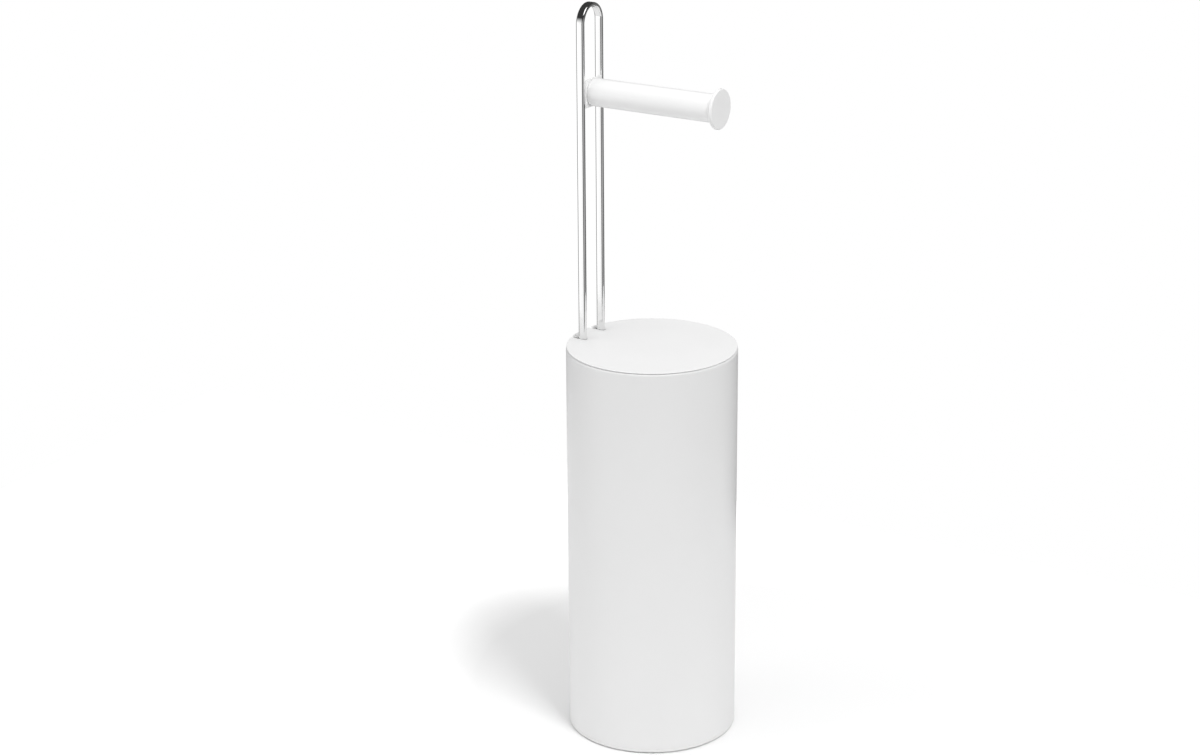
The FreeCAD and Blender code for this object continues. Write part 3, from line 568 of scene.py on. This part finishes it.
def on_arm(piece):
    """Lay a turned piece along the arm."""
    only(piece)
    piece.rotation_euler = FACING_FRONT
    piece.location = (0, 0, ARM_Z)
    bpy.ops.object.transform_apply(location=True, rotation=True, scale=True)
    return piece


def arm_hole(name, low, high):
    """Cutting shape for the arm screw's hole, from a little before one X to a little past another."""
    return on_arm(turned(name, [
        (0, low - CUT_OVER),
        (ARM_HOLE, low - CUT_OVER),
        (ARM_HOLE, high + CUT_OVER),
        (0, high + CUT_OVER),
    ], SCREW_STEPS))


bracket = block("cross_bracket", bracket_low, bracket_high)
ease_edges(bracket, BRACKET_EASE, lambda edge: True, ROUND_STEPS)
cut_away(bracket, arm_hole("bracket_hole", bracket_low.x, bracket_high.x))
finished(bracket, bar_finish, "stand", "polished_bar", "arm_bracket")
for node in ("arm_screw", "arm_washer"):
    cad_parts[node].material_slots[0].material = zinc_finish

# Root plate: a thin white moulding, as tall as the arm, that fills the space between the legs and keeps
# the arm's root off the cross bar.
root_low, root_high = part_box("arm_spacer")
ROOT_EASE = 0.25 * MM
arm_finish = moulded("soft_gloss_white_moulding", (0.915, 0.915, 0.915), (0.93, 0.93, 0.93), 0.26, 0.34,
                     1600.0, 0.006 * MM)
root = block("root_plate", root_low, root_high)
ease_edges(root, ROOT_EASE, lambda edge: True)
cut_away(root, arm_hole("root_hole", root_low.x, root_high.x))
finished(root, arm_finish, "stand", "arm_plastic", "arm_spacer")

# Arm: a white moulded tube with a soft gloss, closed and rounded at its root, open at its far end for
# the cap.
cap_low, cap_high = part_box("arm_end_cap")
ARM_RADIUS = arm_high.y
ARM_WALL = 2.2 * MM
ARM_BORE = ARM_RADIUS - ARM_WALL
ROOT_ROUND = 1.6 * MM
ROOT_WALL = 4.0 * MM
arm = on_arm(turned("white_arm", [
    (ARM_HOLE, arm_low.x),
    (ARM_RADIUS, arm_low.x, ROOT_ROUND),
    (ARM_RADIUS, arm_high.x, SEAM_ROUND),
    (ARM_BORE, arm_high.x),
    (ARM_BORE, arm_low.x + ROOT_WALL, INNER_ROUND),
    (ARM_HOLE, arm_low.x + ROOT_WALL),
]))
finished(arm, arm_finish, "stand", "arm_plastic", "arm_tube")

# End cap: a white moulded plug with a short collar, flush with the arm, and a flange that keeps the roll
# on. It is pushed into the arm after the screw is driven.
FLANGE_RADIUS = cap_high.y
FLANGE_THICK = 3.0 * MM
FLANGE_BACK = cap_high.x - FLANGE_THICK
FLANGE_ROUND = 0.9 * MM
CAP_COVE = 1.8 * MM
PLUG_PLAY = 0.1 * MM
PLUG_WALL = 2.0 * MM
PLUG_RADIUS = ARM_BORE - PLUG_PLAY
PLUG_BORE = PLUG_RADIUS - PLUG_WALL
cap = on_arm(turned("flanged_cap", [
    (0, FLANGE_BACK),
    (PLUG_BORE, FLANGE_BACK, INNER_ROUND),
    (PLUG_BORE, cap_low.x),
    (PLUG_RADIUS, cap_low.x, INNER_ROUND),
    (PLUG_RADIUS, arm_high.x),
    (ARM_RADIUS, arm_high.x, SEAM_ROUND),
    (ARM_RADIUS, FLANGE_BACK, CAP_COVE),
    (FLANGE_RADIUS, FLANGE_BACK, FLANGE_ROUND),
    (FLANGE_RADIUS, cap_high.x, FLANGE_ROUND),
    (0, cap_high.x),
]))
finished(cap, arm_finish, "stand", "arm_plastic", "arm_end_cap")

# Lid: a thin-edged white moulded disc, a little inside the shell's outline, whose skirt drops into the
# mouth. Two slots, open to the rear, let the legs through, so that it lifts up and draws forward off.
lid_low, lid_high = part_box("lid")
pad_low, pad_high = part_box("lid_pads")
LID_LOW = pad_high.z
LID_RADIUS = lid_high.x
LID_ROUND = 0.45 * MM
LID_THICK = 2.1 * MM
LID_INSIDE = lid_high.z - LID_THICK
SKIRT_PLAY = 0.6 * MM
SKIRT_RADIUS = MOUTH_RADIUS - SKIRT_PLAY
SKIRT_WALL = 2.0 * MM
SKIRT_ROUND = 0.5 * MM
SLOT_PLAY = 0.35 * MM
SLOT_ROUND = 1.2 * MM
SLOT_EASE = 0.25 * MM
SLOT_EASE_STEPS = 3
lid_finish = moulded("satin_white_lid", (0.865, 0.865, 0.865), (0.885, 0.885, 0.885), 0.40, 0.48,
                     2200.0, 0.010 * MM, 18.0)
lid = turned("white_lid", [
    (0, LID_INSIDE),
    (SKIRT_RADIUS - SKIRT_WALL, LID_INSIDE, SKIRT_ROUND),
    (SKIRT_RADIUS - SKIRT_WALL, lid_low.z, SKIRT_ROUND),
    (SKIRT_RADIUS, lid_low.z, SKIRT_ROUND),
    (SKIRT_RADIUS, LID_LOW),
    (LID_RADIUS, LID_LOW, LID_ROUND / 2),
    (LID_RADIUS, lid_high.z, LID_ROUND),
    (0, lid_high.z),
])
slot_front = loop_high.x + SLOT_PLAY
slot_half = BAR_THICK / 2 + SLOT_PLAY
for side in (-LEG_Y, LEG_Y):
    slot = block("lid_slot", (-BODY_RADIUS - CUT_OVER, side - slot_half, lid_low.z - CUT_OVER),
                 (slot_front, side + slot_half, lid_high.z + CUT_OVER))
    ease_edges(slot, SLOT_ROUND, lambda edge: upright(edge) and edge.verts[0].co.x > slot_front - TOUCH,
               ROUND_STEPS)
    cut_away(lid, slot)


def slot_rim(edge):
    """Whether an edge runs round the top of a slot."""
    ends = [end.co for end in edge.verts]
    return all(end.z > lid_high.z - TOUCH and end.xy.length < LID_RADIUS - LID_ROUND / 2 for end in ends)


ease_edges(lid, SLOT_EASE, slot_rim, SLOT_EASE_STEPS)
finished(lid, lid_finish, "lid_set", "lid_plastic", "lid")

# Lid pads: clear silicone dots stuck under the lid's edge. They rest on the rim and leave the thin gap
# that shows all round.
PAD_RADIUS = 1.6 * MM
PAD_ROUND = 0.25 * MM
PAD_CIRCLE = (pad_high.x - PAD_RADIUS) * math.sqrt(2)
PAD_STEPS = 48
PADS = 4
silicone_finish = moulded("clear_silicone", (0.72, 0.72, 0.71), (0.76, 0.76, 0.75), 0.42, 0.55,
                          900.0, 0.01 * MM)
pad = turned("lid_dot", [
    (0, pad_low.z),
    (PAD_RADIUS, pad_low.z, PAD_ROUND),
    (PAD_RADIUS, pad_high.z),
    (0, pad_high.z),
], PAD_STEPS)
pads = placed_set(pad, "lid_dots", circle_spots(PAD_CIRCLE, 0, PADS, DIAGONAL))
finished(pads, silicone_finish, "lid_set", "pad_silicone", "lid_pads")

# Floor: a plain white board that keeps the soft shadow. To the camera alone it glows, a painted light:
# just enough to be white near the object, and fully white away from it, so that the shadow's far end fades
# out.
FLOOR_SIZE = 1.5
FLOOR_SPOT = (-0.15, -0.25, -0.0002)
FLOOR_WHITE = (0.84, 0.84, 0.84, 1)
FLOOR_GLOW = 0.08
FAR_GLOW = 0.30
SHADOW_MIDDLE = (0, 0.10, 0)
SHADOW_REACH = 0.29
SHADOW_FADE = 0.075
bpy.ops.object.select_all(action="DESELECT")
bpy.ops.mesh.primitive_plane_add(size=FLOOR_SIZE, location=FLOOR_SPOT)
bpy.ops.object.transform_apply(location=True, rotation=True, scale=True)
floor = bpy.context.active_object
floor.name = "white_board"
board = bpy.data.materials.new("white_board")
board.use_nodes = True
board_tree = board.node_tree
board_tree.nodes.remove(board_tree.nodes["Principled BSDF"])
diffuse = put(board_tree, "ShaderNodeBsdfDiffuse", {"Color": FLOOR_WHITE})
glow = put(board_tree, "ShaderNodeEmission")
seen = put(board_tree, "ShaderNodeAddShader")
board_paths = put(board_tree, "ShaderNodeLightPath")
choice = put(board_tree, "ShaderNodeMixShader")
board_place = put(board_tree, "ShaderNodeTexCoord")
away = put(board_tree, "ShaderNodeVectorMath", operation="DISTANCE")
away.inputs[1].default_value = SHADOW_MIDDLE
# Painted glow for the camera: weakest round the shadow's middle, rising to full beyond its reach.
strength = put(board_tree, "ShaderNodeMapRange", {
    "From Min": SHADOW_REACH - SHADOW_FADE, "From Max": SHADOW_REACH,
    "To Min": FLOOR_GLOW, "To Max": FAR_GLOW,
})
board_tree.links.new(board_place.outputs["Object"], away.inputs[0])
board_tree.links.new(away.outputs["Value"], strength.inputs["Value"])
board_tree.links.new(strength.outputs["Result"], glow.inputs["Strength"])
board_tree.links.new(diffuse.outputs[0], seen.inputs[0])
board_tree.links.new(glow.outputs[0], seen.inputs[1])
board_tree.links.new(board_paths.outputs["Is Camera Ray"], choice.inputs["Fac"])
board_tree.links.new(diffuse.outputs[0], choice.inputs[1])
board_tree.links.new(seen.outputs[0], choice.inputs[2])
board_tree.links.new(choice.outputs[0], board_tree.nodes["Material Output"].inputs["Surface"])
floor.data.materials.append(board)

# Studio: white to the camera, an even fill for the object, and for its reflections a white surround on
# the left with darker stretches to the right, behind and overhead, as round a table in a dim room.
FILL_LOW = 0.44
FILL_HIGH = 0.92
SURROUND = [
    (-180, 0.30), (-150, 0.38), (-137, 0.75), (-127, 1.30), (-122, 1.30), (-117, 0.80), (-110, 0.12),
    (-70, 0.08), (-52, 0.55), (-20, 0.55), (-2, 0.16), (30, 0.14), (60, 0.16), (110, 0.10), (150, 0.20),
    (180, 0.30),
]
OVERHEAD = 0.04
WALL_TOP = (0.0, 0.42)
scene = bpy.context.scene
world = bpy.data.worlds.new("studio")
scene.world = world
world.use_nodes = True
studio_tree = world.node_tree
studio_tree.nodes.remove(studio_tree.nodes["Background"])
studio_place = put(studio_tree, "ShaderNodeTexCoord")
apart = put(studio_tree, "ShaderNodeSeparateXYZ")
bearing = put(studio_tree, "ShaderNodeMath", operation="ARCTAN2")
share = put(studio_tree, "ShaderNodeMapRange", {"From Min": -math.pi, "From Max": math.pi})
surround = put(studio_tree, "ShaderNodeValToRGB")
stops = surround.color_ramp.elements
while len(stops) < len(SURROUND):
    stops.new(0.5)
for stop, (degrees, level) in zip(stops, SURROUND):
    stop.position = (degrees + 180) / 360
    stop.color = (level, level, level, 1)
rise = put(studio_tree, "ShaderNodeMapRange", {"From Min": WALL_TOP[0], "From Max": WALL_TOP[1]})
dimmed = put(studio_tree, "ShaderNodeMix", data_type="RGBA")
dimmed.inputs["B"].default_value = (OVERHEAD, OVERHEAD, OVERHEAD, 1)
studio_tree.links.new(studio_place.outputs["Generated"], apart.inputs[0])
studio_tree.links.new(apart.outputs["Y"], bearing.inputs[0])
studio_tree.links.new(apart.outputs["X"], bearing.inputs[1])
studio_tree.links.new(bearing.outputs[0], share.inputs["Value"])
studio_tree.links.new(share.outputs["Result"], surround.inputs["Fac"])
studio_tree.links.new(apart.outputs["Z"], rise.inputs["Value"])
studio_tree.links.new(rise.outputs["Result"], dimmed.inputs["Factor"])
studio_tree.links.new(surround.outputs["Color"], dimmed.inputs["A"])
white = put(studio_tree, "ShaderNodeBackground", {"Color": (1, 1, 1, 1), "Strength": 1.0})
fill = put(studio_tree, "ShaderNodeBackground", {"Color": (1, 1, 1, 1)})
studio_tree.links.new(ranged(studio_tree, apart.outputs["Z"], FILL_LOW, FILL_HIGH), fill.inputs["Strength"])
mirrored = put(studio_tree, "ShaderNodeBackground", {"Strength": 1.0})
studio_tree.links.new(dimmed.outputs["Result"], mirrored.inputs["Color"])
studio_paths = put(studio_tree, "ShaderNodeLightPath")
shiny = put(studio_tree, "ShaderNodeMath", operation="MAXIMUM")
studio_tree.links.new(studio_paths.outputs["Is Glossy Ray"], shiny.inputs[0])
studio_tree.links.new(studio_paths.outputs["Is Transmission Ray"], shiny.inputs[1])
lit = put(studio_tree, "ShaderNodeMixShader")
studio_tree.links.new(shiny.outputs[0], lit.inputs["Fac"])
studio_tree.links.new(fill.outputs[0], lit.inputs[1])
studio_tree.links.new(mirrored.outputs[0], lit.inputs[2])
shown = put(studio_tree, "ShaderNodeMixShader")
studio_tree.links.new(studio_paths.outputs["Is Camera Ray"], shown.inputs["Fac"])
studio_tree.links.new(lit.outputs[0], shown.inputs[1])
studio_tree.links.new(white.outputs[0], shown.inputs[2])
studio_tree.links.new(shown.outputs[0], studio_tree.nodes["World Output"].inputs["Surface"])

# Lamps: a soft box above on the right, which casts the shadow to the left, a broad weak one on the left
# of the camera, and a panel over the camera that shows only as the light line on rounded edges.
LIT_SPOT = Vector((0, 0, RIM / 2))
KEY = {"bearing": -29, "rise": 55, "distance": 4.0, "size": 1.0, "power": 70.0}
SIDE_FILL = {"bearing": -140, "rise": 12, "distance": 4.0, "size": 2.4, "power": 28.0}
EDGE_PANEL = {"bearing": -60, "rise": 72, "distance": 3.0, "size": 2.2, "power": 26.0}


def soft_box(name, bearing, rise, distance, size, power):
    """Square lamp at a bearing from +X and a rise over the floor, aimed at the canister."""
    lamp = bpy.data.lights.new(name, "AREA")
    lamp.size = size
    lamp.energy = power
    holder = bpy.data.objects.new(name, lamp)
    scene.collection.objects.link(holder)
    turn, lift = math.radians(bearing), math.radians(rise)
    out = Vector((math.cos(lift) * math.cos(turn), math.cos(lift) * math.sin(turn), math.sin(lift)))
    holder.location = LIT_SPOT + out * distance
    holder.rotation_euler = out.to_track_quat("Z", "Y").to_euler()
    return holder


soft_box("key_box", **KEY).visible_glossy = False
soft_box("side_box", **SIDE_FILL).visible_glossy = False
soft_box("edge_panel", **EDGE_PANEL).visible_diffuse = False

# Camera: a long lens, a little above the lid, looking down past the arm's free end.
LENS = 84.38
SENSOR = 36
SIDE_SHIFT = -0.0434
FAR_END = 50
CAMERA_SPOT = (1.1598, -2.0088, 1.149)
CAMERA_TILT = math.radians(90 - 19.49)
CAMERA_TURN = math.radians(30)
camera_data = bpy.data.cameras.new("camera")
camera_data.lens = LENS
camera_data.sensor_width = SENSOR
camera_data.shift_x = SIDE_SHIFT
camera_data.clip_end = FAR_END
camera = bpy.data.objects.new("camera", camera_data)
camera.location = CAMERA_SPOT
camera.rotation_euler = (CAMERA_TILT, 0, CAMERA_TURN)
scene.collection.objects.link(camera)
scene.camera = camera
scene.view_settings.view_transform = "Standard"
